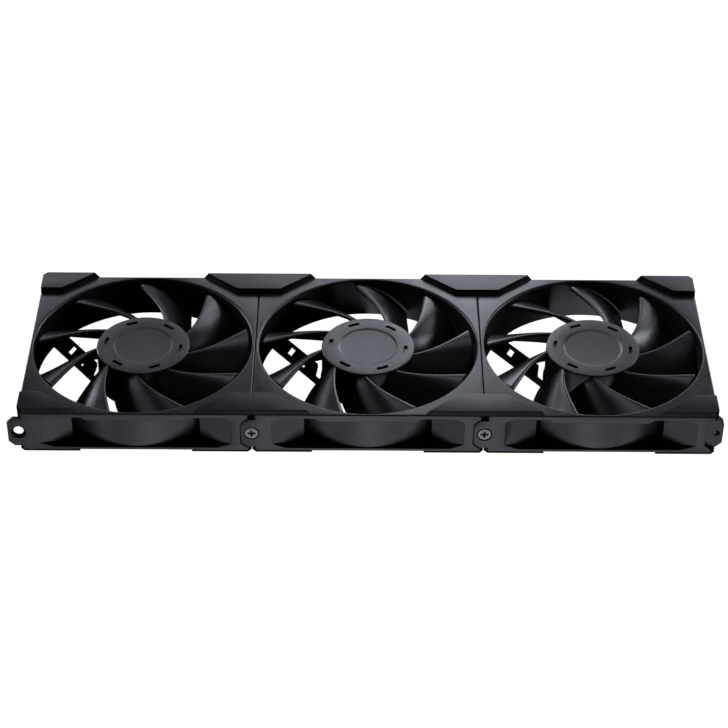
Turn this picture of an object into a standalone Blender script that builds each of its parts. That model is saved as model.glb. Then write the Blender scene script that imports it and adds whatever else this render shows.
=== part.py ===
"""A bank of three linked 120 mm axial fans, made to sit on a 360 mm liquid-cooling radiator.

Metres, +Z up. X runs along the bank, -Y is the side with the link screws, and air enters from +Z.
The origin is at the middle of the bank, on the plane that the outlet-side pads rest on.
"""
from math import cos, pi, radians, sin

import bmesh
import bpy
from mathutils import Matrix, Vector

MM = 0.001

# ---- driving dimensions ----------------------------------------------------------------------
FAN_COUNT = 3
PITCH = 120 * MM                # distance between fan centres
GAP = 0.3 * MM                  # clearance that touching pieces keep
FRAME_HALF = PITCH / 2 - GAP / 2
PAD_BOTTOM = 0.0
FRAME_BOTTOM = 1.0 * MM
FRAME_TOP = 25.0 * MM
PAD_TOP = 28.0 * MM
CORNER_CHAMFER = 2.0 * MM       # on the frame's vertical corners
FLANGE_OUTLET = 2.9 * MM        # inner face of the outlet flange
FLANGE_INLET = 22.2 * MM        # inner face of the inlet flange
HOLE_OFFSET = 52.5 * MM         # screw holes on a 105 mm square
HOLE_R = 2.15 * MM
PAD_HOLE_R = 2.8 * MM           # in the outlet pads

BORE_R = 58.0 * MM
BARREL_R = 59.2 * MM
INLET_FLARE = 1.5 * MM
OUTLET_FLARE = 1.0 * MM

TAB_REACH = 5.5 * MM            # link tab, past the fan's left side
TAB_THICK = 2.0 * MM
TAB_LOW = 3.4 * MM
TAB_HIGH = 21.4 * MM
TAB_CORNER = 3.0 * MM
LUG_REACH = 3.2 * MM            # screw lug, past the fan's right side
LUG_BACK = 7.0 * MM             # depth of the lug's back, from the front face
SCREW_Z = (TAB_LOW + TAB_HIGH) / 2

HUB_R = 24.8 * MM
HUB_TOP = 23.6 * MM
HUB_BOTTOM = 5.0 * MM
HUB_WALL = 1.3 * MM
BLADE_COUNT = 9
BLADE_TIP_R = 56.6 * MM
BLADE_THICK = 1.6 * MM
BLADE_LE_Z = 22.5 * MM
BLADE_TE_Z = 6.0 * MM
ROOT_CAMBER = 0.6               # 0 is a straight section, 1 is level at its leading edge
TIP_CAMBER = 1.0
TIP_DROP = 1.1 * MM             # how much lower the leading edge is at the tip

BASE_R = 25.5 * MM              # motor base in the middle of the stator arms
BASE_TOP = 3.2 * MM
CAP_R = 20.0 * MM
CAP_THICK = 0.5 * MM
ARM_TOP = 3.6 * MM
ARM_OUTER_LINE = 25.1 * MM      # distance of an arm's outer edge from the fan's axis
CABLE_ARM_WIDTH = 10.0 * MM
ARM_WIDTH = 6.0 * MM
ARM_HEADING = radians(-52)      # direction the cable arm runs in, from rim to hub
TUBE_R = 4.5 * MM               # bearing tube
TUBE_BORE_R = 3.2 * MM
TUBE_TOP = 16.0 * MM

SHAFT_R = 1.5 * MM
RUNNING_GAP = 0.08 * MM         # between the shaft and its bearing sleeve
ROUND = 48                      # segments of the large round shapes
MOTOR_ROUND = 24
SHAFT_ROUND = 24
SMALL_ROUND = 12

# ---- materials -------------------------------------------------------------------------------
MATERIALS = {
    "frame_plastic": ((0.030, 0.031, 0.035), 0.50, 0.0),
    "blade_plastic": ((0.026, 0.027, 0.031), 0.38, 0.0),
    "pad_rubber": ((0.014, 0.014, 0.016), 0.75, 0.0),
    "zinc_steel": ((0.42, 0.43, 0.45), 0.35, 1.0),
    "yoke_steel": ((0.30, 0.30, 0.31), 0.45, 1.0),
    "ferrite": ((0.05, 0.05, 0.055), 0.70, 0.0),
    "core_steel": ((0.25, 0.26, 0.28), 0.50, 1.0),
    "winding_copper": ((0.60, 0.25, 0.10), 0.40, 1.0),
    "board_green": ((0.03, 0.14, 0.07), 0.55, 0.0),
    "bearing_bronze": ((0.45, 0.30, 0.14), 0.45, 1.0),
    "cap_plastic": ((0.05, 0.05, 0.055), 0.60, 0.0),
}


def make_material(name, color, roughness, metallic):
    material = bpy.data.materials.new(name)
    material.use_nodes = True
    shader = material.node_tree.nodes["Principled BSDF"]
    shader.inputs["Base Color"].default_value = (*color, 1.0)
    shader.inputs["Roughness"].default_value = roughness
    shader.inputs["Metallic"].default_value = metallic
    material.diffuse_color = (*color, 1.0)
    return material


def make_collection(name):
    collection = bpy.data.collections.new(name)
    bpy.context.scene.collection.children.link(collection)
    return collection


for old in list(bpy.data.objects):
    bpy.data.objects.remove(old, do_unlink=True)

materials = {name: make_material(name, *values) for name, values in MATERIALS.items()}
parts = make_collection("linked_fan_bank")
tools = make_collection("cutters")


# ---- helpers ---------------------------------------------------------------------------------
def tool_object(name, mesh):
    """A helper object, in the cutters' collection."""
    obj = bpy.data.objects.new(name, mesh)
    obj.hide_render = True
    obj.display_type = "WIRE"
    tools.objects.link(obj)
    return obj


def baked(obj):
    """The object's evaluated mesh, in world space. The helper object itself is removed."""
    bpy.context.view_layer.update()
    evaluated = obj.evaluated_get(bpy.context.evaluated_depsgraph_get())
    mesh = bpy.data.meshes.new_from_object(evaluated)
    mesh.transform(obj.matrix_world)
    bpy.data.objects.remove(obj, do_unlink=True)
    return mesh


def finished(mesh):
    """Weld, keep the faces pointing outwards, and shade the round faces smooth."""
    bm = bmesh.new()
    bm.from_mesh(mesh)
    bmesh.ops.remove_doubles(bm, verts=bm.verts, dist=1e-6)
    bmesh.ops.recalc_face_normals(bm, faces=bm.faces)
    bm.to_mesh(mesh)
    bm.free()
    mesh.shade_smooth()
    mesh.set_sharp_from_angle(angle=radians(35))
    return mesh


def box(low, high):
    """A box mesh between two corners."""
    low, high = Vector(low), Vector(high)
    bm = bmesh.new()
    size = Matrix.Diagonal((*(high - low), 1.0))
    bmesh.ops.create_cube(bm, size=1.0, matrix=Matrix.Translation((low + high) / 2) @ size)
    mesh = bpy.data.meshes.new("box")
    bm.to_mesh(mesh)
    bm.free()
    return mesh


def cylinder(radius, low, high, segments=SMALL_ROUND, top_radius=None, axis="Z", at=(0, 0)):
    """A cylinder or cone along Z, or along Y with `at` giving X and Z."""
    bm = bmesh.new()
    bmesh.ops.create_cone(bm, cap_ends=True, segments=segments, radius1=radius,
                          radius2=radius if top_radius is None else top_radius, depth=high - low)
    place = Matrix.Translation((at[0], at[1], (low + high) / 2))
    if axis == "Y":
        turn = Matrix.Rotation(radians(-90), 4, "X")
        place = Matrix.Translation((at[0], (low + high) / 2, at[1])) @ turn
    bmesh.ops.transform(bm, matrix=place, verts=bm.verts)
    mesh = bpy.data.meshes.new("cylinder")
    bm.to_mesh(mesh)
    bm.free()
    return mesh


def plate(outline, low, high, axis="Z"):
    """A flat outline given thickness along Z, or along Y for an outline in X and Z."""
    curve = bpy.data.curves.new("outline", "CURVE")
    curve.dimensions = "2D"
    curve.fill_mode = "BOTH"
    curve.extrude = (high - low) / 2
    spline = curve.splines.new("POLY")
    spline.points.add(len(outline) - 1)
    for point, (x, y) in zip(spline.points, outline):
        point.co = (x, y, 0, 1)
    spline.use_cyclic_u = True
    obj = bpy.data.objects.new("outline", curve)
    tools.objects.link(obj)
    obj.location.z = (low + high) / 2
    if axis == "Y":
        obj.location = (0, (low + high) / 2, 0)
        obj.rotation_euler.x = radians(90)
    return finished(baked(obj))


def turned(profile, segments=ROUND):
    """A closed profile of (radius, z) points, turned about Z with a Screw modifier."""
    bm = bmesh.new()
    points = [bm.verts.new((r, 0, z)) for r, z in profile]
    closed = all(r > 0 for r, z in profile)
    for first, second in zip(points, points[1:] + points[:1] * closed):
        bm.edges.new((first, second))
    mesh = bpy.data.meshes.new("profile")
    bm.to_mesh(mesh)
    bm.free()
    obj = tool_object("profile", mesh)
    screw = obj.modifiers.new("turn", "SCREW")
    screw.axis = "Z"
    screw.steps = screw.render_steps = segments
    screw.use_merge_vertices = True
    screw.merge_threshold = 0.00001
    return finished(baked(obj))


def ring(inner, outer, low, high, segments=ROUND):
    """A plain ring about Z."""
    return turned([(inner, low), (inner, high), (outer, high), (outer, low)], segments)


def combined(base, *steps):
    """The base mesh after Boolean steps, each an operation and a mesh."""
    obj = tool_object("base", base)
    others = []
    for operation, mesh in steps:
        other = tool_object("other", mesh)
        others.append(other)
        modifier = obj.modifiers.new(operation.lower(), "BOOLEAN")
        modifier.operation = operation
        modifier.solver = "EXACT"
        modifier.object = other
    result = baked(obj)
    for other in others:
        bpy.data.objects.remove(other, do_unlink=True)
    return finished(result)


def joined(meshes):
    """Several separate closed meshes in one."""
    bm = bmesh.new()
    for mesh in meshes:
        bm.from_mesh(mesh)
    result = bpy.data.meshes.new("joined")
    bm.to_mesh(result)
    bm.free()
    return result


def rotated(mesh, angle):
    copy = mesh.copy()
    copy.transform(Matrix.Rotation(angle, 4, "Z"))
    return copy


def mirrored(mesh, x=1, y=1):
    """A copy mirrored in X and Y, with its faces still pointing out."""
    copy = mesh.copy()
    copy.transform(Matrix.Diagonal((x, y, 1, 1)))
    return finished(copy)


def place(name, mesh, material, parent=None, location=(0, 0, 0), turn=0.0):
    """One sub-part, in the parts' collection."""
    obj = bpy.data.objects.new(name, mesh)
    if not mesh.materials:
        mesh.materials.append(materials[material])
    obj.parent = parent
    obj.location = location
    obj.rotation_euler.z = turn
    parts.objects.link(obj)
    return obj


def anchor(name, location):
    """An empty that a fan's pieces hang from, on the fan's axis."""
    empty = bpy.data.objects.new(name, None)
    empty.location = location
    parts.objects.link(empty)
    return empty


# ---- frame -----------------------------------------------------------------------------------
def chamfered_square(half, chamfer):
    edge = half - chamfer
    return [(-half, -edge), (-edge, -half), (edge, -half), (half, -edge),
            (half, edge), (edge, half), (-edge, half), (-half, edge)]


def side_pocket():
    """The hollow between the flanges on the front side, outside the barrel."""
    pillar = 51 * MM
    fold_x, fold_y = 32 * MM, 53.5 * MM
    deep = 47 * MM
    out = FRAME_HALF + 1 * MM
    plan = [(-pillar, -out), (pillar, -out), (pillar, -FRAME_HALF), (fold_x, -fold_y),
            (fold_x, -deep), (-fold_x, -deep), (-fold_x, -fold_y), (-pillar, -FRAME_HALF)]
    rib_low, rib_half, rib_foot = 20.2 * MM, 24.6 * MM, 27.2 * MM
    right = [(rib_half, rib_low), (rib_foot, FLANGE_INLET), (44 * MM, FLANGE_INLET),
             (pillar, rib_low), (pillar, 5.5 * MM), (42 * MM, FLANGE_OUTLET)]
    front = [(-x, z) for x, z in right] + [(x, z) for x, z in reversed(right)]
    return combined(plate(plan, 0, FRAME_TOP + 1 * MM),
                    ("INTERSECT", plate(front, -out - 1 * MM, -deep + 1 * MM, "Y")),
                    ("DIFFERENCE", cylinder(BARREL_R, -1 * MM, 30 * MM, ROUND)))


def bore_cutter():
    """The air passage, flared at the inlet and the outlet."""
    profile = [(0, FRAME_TOP + 2 * MM), (BORE_R + INLET_FLARE, FRAME_TOP + 2 * MM)]
    for step in range(3):
        angle = radians(90) * step / 2
        profile.append((BORE_R + INLET_FLARE * (1 - sin(angle)),
                        FRAME_TOP - INLET_FLARE * (1 - cos(angle))))
    profile += [(BORE_R, FRAME_BOTTOM + OUTLET_FLARE), (BORE_R + OUTLET_FLARE, FRAME_BOTTOM),
                (BORE_R + OUTLET_FLARE, -1 * MM), (0, -1 * MM)]
    return turned(profile)


def octagon(left, right, low, high, corner):
    """An X, Z outline whose free corners at the left are cut off."""
    return [(left, low + corner), (left, high - corner), (left + corner, high),
            (right, high), (right, low), (left + corner, low)]


def link_tab():
    left = -PITCH / 2 - TAB_REACH
    outline = octagon(left, -FRAME_HALF + 6 * MM, TAB_LOW, TAB_HIGH, TAB_CORNER)
    return plate(outline, -FRAME_HALF + 0.05 * MM, -FRAME_HALF + TAB_THICK, "Y")


def tab_recess():
    left = PITCH / 2 - TAB_REACH - GAP
    outline = octagon(left, FRAME_HALF + 9 * MM, TAB_LOW - GAP, TAB_HIGH + GAP, TAB_CORNER)
    return plate(outline, -FRAME_HALF - 1 * MM, -FRAME_HALF + TAB_THICK + GAP, "Y")


def screw_lug():
    """The lug at full depth; the tab's recess cuts its front back."""
    outline = octagon(-PITCH / 2 - LUG_REACH, -FRAME_HALF + 4 * MM, TAB_LOW, TAB_HIGH, TAB_CORNER)
    mesh = plate(outline, -FRAME_HALF + 1 * MM, -FRAME_HALF + LUG_BACK, "Y")
    return mirrored(mesh, x=-1)


def lug_pocket():
    """Room behind the tab for the neighbour's lug, open to the side and below."""
    return box((-FRAME_HALF - 1 * MM, -FRAME_HALF + TAB_THICK, 0),
               (-FRAME_HALF + LUG_REACH + 2 * GAP, -42 * MM, TAB_HIGH + GAP))


def stator_arm(heading, width):
    """A flat arm from the barrel to the motor base, tangent to the base."""
    arm = box((-57 * MM, -ARM_OUTER_LINE, FRAME_BOTTOM),
              (4 * MM, -ARM_OUTER_LINE + width, ARM_TOP))
    arm.transform(Matrix.Rotation(heading, 4, "Z"))
    return combined(arm, ("INTERSECT", cylinder(BORE_R + 0.6 * MM, 0, 6 * MM, ROUND)))


def cable_arm():
    """The wide arm, with its slanted window, a small slot, and a notch beside the motor base."""
    low, high = 0, 6 * MM
    centre, along, across = Vector((-41.7, 21.95)) * MM, 4.8 * MM, 7.4 * MM
    run = Vector((cos(ARM_HEADING), sin(ARM_HEADING))) * along / 2
    slant = Vector((cos(radians(65)), sin(radians(65)))) * across / 2
    window = plate([centre + run + slant, centre - run + slant,
                    centre - run - slant, centre + run - slant], low, high)
    slot = box((-35.7 * MM, 6.9 * MM, low), (-34.3 * MM, 11.8 * MM, high))
    notch = plate([(x * MM, y * MM) for x, y in
                   ((-28.3, -0.2), (-20, -10.8), (-14, 0), (-14, 20), (-25.7, 20))], low, high)
    return combined(stator_arm(ARM_HEADING, CABLE_ARM_WIDTH), ("DIFFERENCE", window),
                    ("DIFFERENCE", slot), ("DIFFERENCE", notch))


def motor_base():
    """The base disc with its bearing tube."""
    return turned([
        (TUBE_BORE_R, FRAME_BOTTOM), (TUBE_BORE_R, TUBE_TOP), (TUBE_R, TUBE_TOP),
        (TUBE_R, BASE_TOP), (BASE_R, BASE_TOP), (BASE_R, FRAME_BOTTOM)], MOTOR_ROUND)


def cap_recess():
    """Room for the cap under the motor base."""
    return cylinder(CAP_R + GAP, 0, FRAME_BOTTOM + CAP_THICK + GAP, MOTOR_ROUND)


def frame_mesh():
    half = FRAME_HALF
    body = plate(chamfered_square(half, CORNER_CHAMFER), FRAME_BOTTOM, FRAME_TOP)
    pocket = side_pocket()
    pockets = joined([rotated(pocket, radians(90) * turn) for turn in range(4)])
    holes = joined([cylinder(HOLE_R, 0, FRAME_TOP + 1 * MM, SMALL_ROUND, at=(x, y))
                    for x in (-HOLE_OFFSET, HOLE_OFFSET) for y in (-HOLE_OFFSET, HOLE_OFFSET)])
    shell = combined(body, ("DIFFERENCE", bore_cutter()), ("DIFFERENCE", pockets),
                     ("UNION", screw_lug()), ("DIFFERENCE", tab_recess()), ("UNION", link_tab()),
                     ("DIFFERENCE", lug_pocket()), ("DIFFERENCE", holes))
    countersink = cylinder(4.1 * MM + 1 * MM, -half - 1 * MM, -half + 1.5 * MM,
                           top_radius=2.6 * MM, axis="Y", at=(-PITCH / 2, SCREW_Z))
    through = cylinder(2.6 * MM, -half, -half + 3 * MM, axis="Y", at=(-PITCH / 2, SCREW_Z))
    thread = cylinder(1.65 * MM, -half + 1 * MM, -half + 9 * MM, axis="Y", at=(PITCH / 2, SCREW_Z))
    drilled = combined(shell, ("DIFFERENCE", countersink), ("DIFFERENCE", through),
                       ("DIFFERENCE", thread))
    thin = [stator_arm(ARM_HEADING + radians(120) * turn, ARM_WIDTH) for turn in (1, 2)]
    return combined(drilled, ("UNION", motor_base()), ("UNION", cable_arm()),
                    ("UNION", thin[0]), ("UNION", thin[1]), ("DIFFERENCE", cap_recess()))


# ---- impeller --------------------------------------------------------------------------------
def blade_point(span, chord):
    """A point of the blade's middle surface; span runs root to tip, chord from the leading edge."""
    root_r = HUB_R - 0.6 * MM
    r = root_r + (BLADE_TIP_R - root_r) * span
    out = (r - 25 * MM) / MM
    leading = radians(-11.5 + 1.34 * out - 0.0136 * out ** 2)
    trailing = radians(-45.8 + 1.75 * out - 0.0225 * out ** 2)
    angle = leading + (trailing - leading) * chord
    camber = ROOT_CAMBER + (TIP_CAMBER - ROOT_CAMBER) * span
    drop = chord + camber * (chord ** 2 - chord)
    nose_z = BLADE_LE_Z - TIP_DROP * span
    return Vector((r * cos(angle), r * sin(angle), nose_z + (BLADE_TE_Z - nose_z) * drop))


def blade_mesh():
    bm = bmesh.new()
    bmesh.ops.create_grid(bm, x_segments=4, y_segments=4, size=0.5)
    for vert in bm.verts:
        vert.co = blade_point(vert.co.x + 0.5, vert.co.y + 0.5)
    bmesh.ops.recalc_face_normals(bm, faces=bm.faces)
    mesh = bpy.data.meshes.new("blade")
    bm.to_mesh(mesh)
    bm.free()
    obj = tool_object("blade", mesh)
    skin = obj.modifiers.new("thickness", "SOLIDIFY")
    skin.thickness = BLADE_THICK
    skin.offset = 0
    return finished(baked(obj))


def hub_mesh():
    """The hub's cup, open below, with a boss for the shaft and a shallow recess on top."""
    inner = HUB_R - HUB_WALL
    ceiling = HUB_TOP - 1.8 * MM
    recess_r, recess = 15.0 * MM, 0.3 * MM
    boss_r, boss_low, shaft_hole = 3.6 * MM, 18.5 * MM, SHAFT_R + GAP
    return turned([
        (0, HUB_TOP - recess), (recess_r, HUB_TOP - recess), (recess_r, HUB_TOP),
        (HUB_R - 0.5 * MM, HUB_TOP), (HUB_R, HUB_TOP - 0.5 * MM), (HUB_R, HUB_BOTTOM),
        (inner, HUB_BOTTOM), (inner, ceiling), (boss_r, ceiling), (boss_r, boss_low),
        (shaft_hole, boss_low), (shaft_hole, ceiling), (0, ceiling)], 32)


def impeller_mesh():
    blade = blade_mesh()
    blades = joined([rotated(blade, 2 * pi * i / BLADE_COUNT) for i in range(BLADE_COUNT)])
    return combined(hub_mesh(), ("UNION", blades))


# ---- motor -----------------------------------------------------------------------------------
def stator_shape(grow=0.0):
    """The laminated core with four T-shaped poles; grow swells it evenly to cut a clearance."""
    low, high = 9.5 * MM - grow, 14.5 * MM + grow
    core = cylinder(7.0 * MM + grow, low, high)
    half = 1.8 * MM + grow
    poles = []
    for turn in range(4):
        inner, outer = 15.6 * MM - grow, 18.9 * MM
        arc = [radians(-30 + 60 * i / 3) for i in range(4)]
        shoe = plate([(outer * cos(a), outer * sin(a)) for a in arc]
                     + [(inner * cos(a), inner * sin(a)) for a in reversed(arc)], low, high)
        stem = box((5 * MM, -half, low), (16.5 * MM, half, high))
        poles.append(("UNION", rotated(shoe, radians(90) * turn)))
        poles.append(("UNION", rotated(stem, radians(90) * turn)))
    return combined(core, *poles)


def core_mesh():
    return combined(stator_shape(), ("DIFFERENCE", cylinder(TUBE_R + GAP, 0, 20 * MM)))


def winding_mesh():
    """The bobbin ring with a coil round each pole, cleared round the core."""
    low, high = 7.6 * MM, 16.4 * MM
    bobbin = ring(7.4 * MM, 10.0 * MM, low, high, SMALL_ROUND)
    coils = [("UNION", rotated(box((9 * MM, -4.4 * MM, low), (15.2 * MM, 4.4 * MM, high)),
                               radians(90) * turn)) for turn in range(4)]
    return combined(combined(bobbin, *coils), ("DIFFERENCE", stator_shape(GAP)))


def motor_pieces():
    """Name, mesh and material of the motor's pieces, each about the fan's axis."""
    yoke_r = HUB_R - HUB_WALL - GAP
    yoke_top = HUB_TOP - 1.8 * MM - GAP
    yoke = turned([(yoke_r, yoke_top), (yoke_r, 5.6 * MM), (yoke_r - 1.2 * MM, 5.6 * MM),
                   (yoke_r - 1.2 * MM, yoke_top - 1.2 * MM), (4.2 * MM, yoke_top - 1.2 * MM),
                   (4.2 * MM, yoke_top)], MOTOR_ROUND)
    magnet_r = yoke_r - 1.2 * MM - GAP
    return [
        ("rotor_yoke", yoke, "yoke_steel"),
        ("magnet_ring", ring(magnet_r - 1.8 * MM, magnet_r, 6.0 * MM, 18.0 * MM,
                             MOTOR_ROUND), "ferrite"),
        ("shaft", cylinder(SHAFT_R, 2.2 * MM, 21.4 * MM, SHAFT_ROUND), "zinc_steel"),
        ("bearing_sleeve", ring(SHAFT_R + RUNNING_GAP, TUBE_BORE_R - GAP, 4.2 * MM, 15.6 * MM,
                                SHAFT_ROUND), "bearing_bronze"),
        ("retaining_washer", ring(SHAFT_R + GAP, TUBE_BORE_R - GAP, 2.6 * MM, 3.6 * MM,
                                  SMALL_ROUND), "zinc_steel"),
        ("stator_core", core_mesh(), "core_steel"),
        ("stator_winding", winding_mesh(), "winding_copper"),
        ("circuit_board", ring(5.0 * MM, 17.5 * MM, 4.4 * MM, 5.6 * MM, MOTOR_ROUND),
         "board_green"),
        ("underside_cap", cylinder(CAP_R, FRAME_BOTTOM, FRAME_BOTTOM + CAP_THICK, MOTOR_ROUND),
         "cap_plastic"),
    ]


# ---- pads ------------------------------------------------------------------------------------
PAD_INNER = 12.9 * MM           # half width of a pad's inner edge, from the fan's side
PAD_OUTER = 31.2 * MM           # half width of its outer edge
PAD_DEPTH = 15.6 * MM
PAD_SLOPE = 2.3 * MM            # how far the inlet pads' slanted walls lean


def corner_pad_outline(x_side, y_side, end_chamfer):
    """A pad at the corner of a fan whose corner lies at x_side, y_side times FRAME_HALF."""
    edge = FRAME_HALF
    points = [(edge - end_chamfer, edge), (edge, edge - end_chamfer), (edge, edge - PAD_DEPTH),
              (edge - PAD_INNER, edge - PAD_DEPTH), (edge - PAD_OUTER, edge)]
    points = [(x * x_side, y * y_side) for x, y in points]
    return points if x_side * y_side < 0 else points[::-1]


def bridge_pad_outline(y_side):
    """A pad that spans the seam between two fans, about X = 0."""
    edge = FRAME_HALF
    points = [(-PAD_OUTER, edge), (-PAD_INNER, edge - PAD_DEPTH),
              (PAD_INNER, edge - PAD_DEPTH), (PAD_OUTER, edge)]
    points = [(x, y * y_side) for x, y in points]
    return points if y_side > 0 else points[::-1]


def sloped_pad(outline, low, high, y_side, slope):
    """A pad whose top is smaller by the slope on its inner and slanted sides."""
    mesh = plate(outline, low, high)
    middle = high - (high - low) / 2
    for vert in mesh.vertices:
        inward = FRAME_HALF - abs(vert.co.y)
        if vert.co.z < middle:
            continue
        if inward > PAD_DEPTH - 0.1 * MM:
            vert.co.y += y_side * slope * 0.5
        slanted = abs(abs(vert.co.x) - PAD_INNER) < 0.1 * MM or abs(
            abs(vert.co.x) - PAD_OUTER) < 0.1 * MM
        from_corner = abs(abs(vert.co.x) - (FRAME_HALF - PAD_INNER)) < 0.1 * MM or abs(
            abs(vert.co.x) - (FRAME_HALF - PAD_OUTER)) < 0.1 * MM
        if from_corner:
            vert.co.x += slope if vert.co.x > 0 else -slope
        elif slanted:
            vert.co.x -= slope if vert.co.x > 0 else -slope
    return mesh


# ---- link screw ------------------------------------------------------------------------------
def link_screw_mesh():
    """A countersunk cross-head screw along Y, its head at -Y."""
    front = -FRAME_HALF + 0.1 * MM
    head = cylinder(3.5 * MM, front, front + 2.0 * MM, top_radius=1.5 * MM, axis="Y")
    shank = cylinder(1.35 * MM, front + 1 * MM, front + 8.0 * MM, 16, axis="Y")
    slots = [("DIFFERENCE", box((-w, front - 1 * MM, -h), (w, front + 0.9 * MM, h)))
             for w, h in ((0.45 * MM, 1.9 * MM), (1.9 * MM, 0.45 * MM))]
    return combined(head, ("UNION", shank), *slots)


# ---- assembly --------------------------------------------------------------------------------
SIDES = ("left", "centre", "right")
REST_TURN = (0.0, radians(0.3), radians(1.3))     # how far each impeller stands turned
fan_x = [PITCH * (i - (FAN_COUNT - 1) / 2) for i in range(FAN_COUNT)]

frame = frame_mesh()
impeller = impeller_mesh()
motor = motor_pieces()
for side, x, turn in zip(SIDES, fan_x, REST_TURN):
    axis = anchor(f"fan_axis_{side}", (x, 0, 0))
    place(f"frame_{side}", frame, "frame_plastic", axis)
    place(f"impeller_{side}", impeller, "blade_plastic", axis, turn=turn)
    for name, mesh, material in motor:
        place(f"{name}_{side}", mesh, material, axis)

COVER_LOW = FRAME_TOP + GAP
for y_side, row in ((-1, "front"), (1, "rear")):
    for x_side, end in ((-1, "left"), (1, "right")):
        outline = corner_pad_outline(x_side, y_side, CORNER_CHAMFER)
        pad = sloped_pad(outline, COVER_LOW, PAD_TOP, y_side, PAD_SLOPE)
        place(f"inlet_pad_{row}_{end}", pad, "pad_rubber",
              location=(fan_x[0] if x_side < 0 else fan_x[-1], 0, 0))
    for seam, (first, second) in enumerate(zip(fan_x, fan_x[1:])):
        pad = sloped_pad(bridge_pad_outline(y_side), COVER_LOW, PAD_TOP, y_side, PAD_SLOPE)
        place(f"inlet_bridge_pad_{row}_{seam + 1}", pad, "pad_rubber",
              location=((first + second) / 2, 0, 0))
    for side, x in zip(SIDES, fan_x):
        for x_side, end in ((-1, "l"), (1, "r")):
            outline = corner_pad_outline(x_side, y_side, CORNER_CHAMFER)
            hole = cylinder(PAD_HOLE_R, -1 * MM, 2 * MM,
                            at=(x_side * HOLE_OFFSET, y_side * HOLE_OFFSET))
            pad = combined(plate(outline, PAD_BOTTOM, FRAME_BOTTOM - GAP), ("DIFFERENCE", hole))
            place(f"outlet_pad_{row}_{side}_{end}", pad, "pad_rubber", location=(x, 0, 0))

screw = link_screw_mesh()
for seam, (first, second) in enumerate(zip(fan_x, fan_x[1:])):
    place(f"link_screw_{seam + 1}", screw, "zinc_steel",
          location=((first + second) / 2, 0, SCREW_Z))
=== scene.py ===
"""Looks of the linked fan bank: fine meshes, materials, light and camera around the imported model."""

from math import cos, pi, radians, sin, sqrt, tan

import bmesh
import bpy
from mathutils import Matrix, Vector


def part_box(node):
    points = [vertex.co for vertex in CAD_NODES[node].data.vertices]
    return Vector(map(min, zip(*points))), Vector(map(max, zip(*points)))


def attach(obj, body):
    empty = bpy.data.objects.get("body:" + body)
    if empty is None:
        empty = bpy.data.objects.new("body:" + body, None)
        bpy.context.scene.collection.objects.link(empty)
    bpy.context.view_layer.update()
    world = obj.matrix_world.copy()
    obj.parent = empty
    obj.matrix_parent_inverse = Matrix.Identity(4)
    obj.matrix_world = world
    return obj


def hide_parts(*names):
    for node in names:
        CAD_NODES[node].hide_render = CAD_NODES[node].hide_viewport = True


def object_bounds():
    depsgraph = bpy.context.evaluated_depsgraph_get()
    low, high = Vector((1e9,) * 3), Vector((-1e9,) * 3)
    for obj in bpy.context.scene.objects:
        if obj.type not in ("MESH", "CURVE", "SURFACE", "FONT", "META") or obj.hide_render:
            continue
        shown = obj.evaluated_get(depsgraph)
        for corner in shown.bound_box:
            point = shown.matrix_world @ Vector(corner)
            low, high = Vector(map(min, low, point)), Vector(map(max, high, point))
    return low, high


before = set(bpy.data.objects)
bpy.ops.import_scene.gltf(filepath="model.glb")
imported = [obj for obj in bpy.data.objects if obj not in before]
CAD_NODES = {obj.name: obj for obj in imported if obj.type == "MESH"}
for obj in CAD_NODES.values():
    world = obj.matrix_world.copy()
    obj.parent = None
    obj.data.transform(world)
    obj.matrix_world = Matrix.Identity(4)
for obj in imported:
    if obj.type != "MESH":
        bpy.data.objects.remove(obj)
cad_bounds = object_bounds()

MM = 0.001
NOTHING = 1e-9                      # a length in metres that counts as none
SIDES = ("left", "centre", "right")
BANK = "bank"
BORE_SEGMENTS, HUB_SEGMENTS, DISC_SEGMENTS, SCREW_SEGMENTS, HOLE_SEGMENTS = 192, 128, 96, 48, 32


# ---- helpers ---------------------------------------------------------------------------------
def corners(node):
    low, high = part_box(node)
    return Vector(low), Vector(high)


def new_object(name, mesh):
    obj = bpy.data.objects.new(name, mesh)
    bpy.context.scene.collection.objects.link(obj)
    return obj


def mesh_from(bm, name="mesh"):
    mesh = bpy.data.meshes.new(name)
    bm.to_mesh(mesh)
    bm.free()
    return mesh


def baked(obj):
    """The object's evaluated mesh in world space; the object itself is removed."""
    bpy.context.view_layer.update()
    evaluated = obj.evaluated_get(bpy.context.evaluated_depsgraph_get())
    mesh = bpy.data.meshes.new_from_object(evaluated)
    mesh.transform(obj.matrix_world)
    bpy.data.objects.remove(obj, do_unlink=True)
    return mesh


def finished(mesh, angle=35):
    """Weld, point the faces outwards, and shade smooth up to an angle in degrees."""
    weld = 1e-6
    bm = bmesh.new()
    bm.from_mesh(mesh)
    bmesh.ops.remove_doubles(bm, verts=bm.verts, dist=weld)
    bmesh.ops.recalc_face_normals(bm, faces=bm.faces)
    bm.to_mesh(mesh)
    bm.free()
    mesh.shade_smooth()
    mesh.set_sharp_from_angle(angle=radians(angle))
    return mesh


def combined(base, *steps, angle=35):
    """The base mesh after Boolean steps, each an operation and a mesh."""
    obj = new_object("base", base)
    others = []
    for operation, mesh in steps:
        other = new_object("other", mesh)
        others.append(other)
        modifier = obj.modifiers.new(operation.lower(), "BOOLEAN")
        modifier.operation = operation
        modifier.solver = "EXACT"
        modifier.object = other
    result = baked(obj)
    for other in others:
        bpy.data.objects.remove(other, do_unlink=True)
    return finished(result, angle)


def joined(meshes):
    bm = bmesh.new()
    for mesh in meshes:
        bm.from_mesh(mesh)
    return mesh_from(bm)


def moved(mesh, matrix):
    copy = mesh.copy()
    copy.transform(matrix)
    return copy


def rotated(mesh, angle):
    return moved(mesh, Matrix.Rotation(angle, 4, "Z"))


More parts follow.
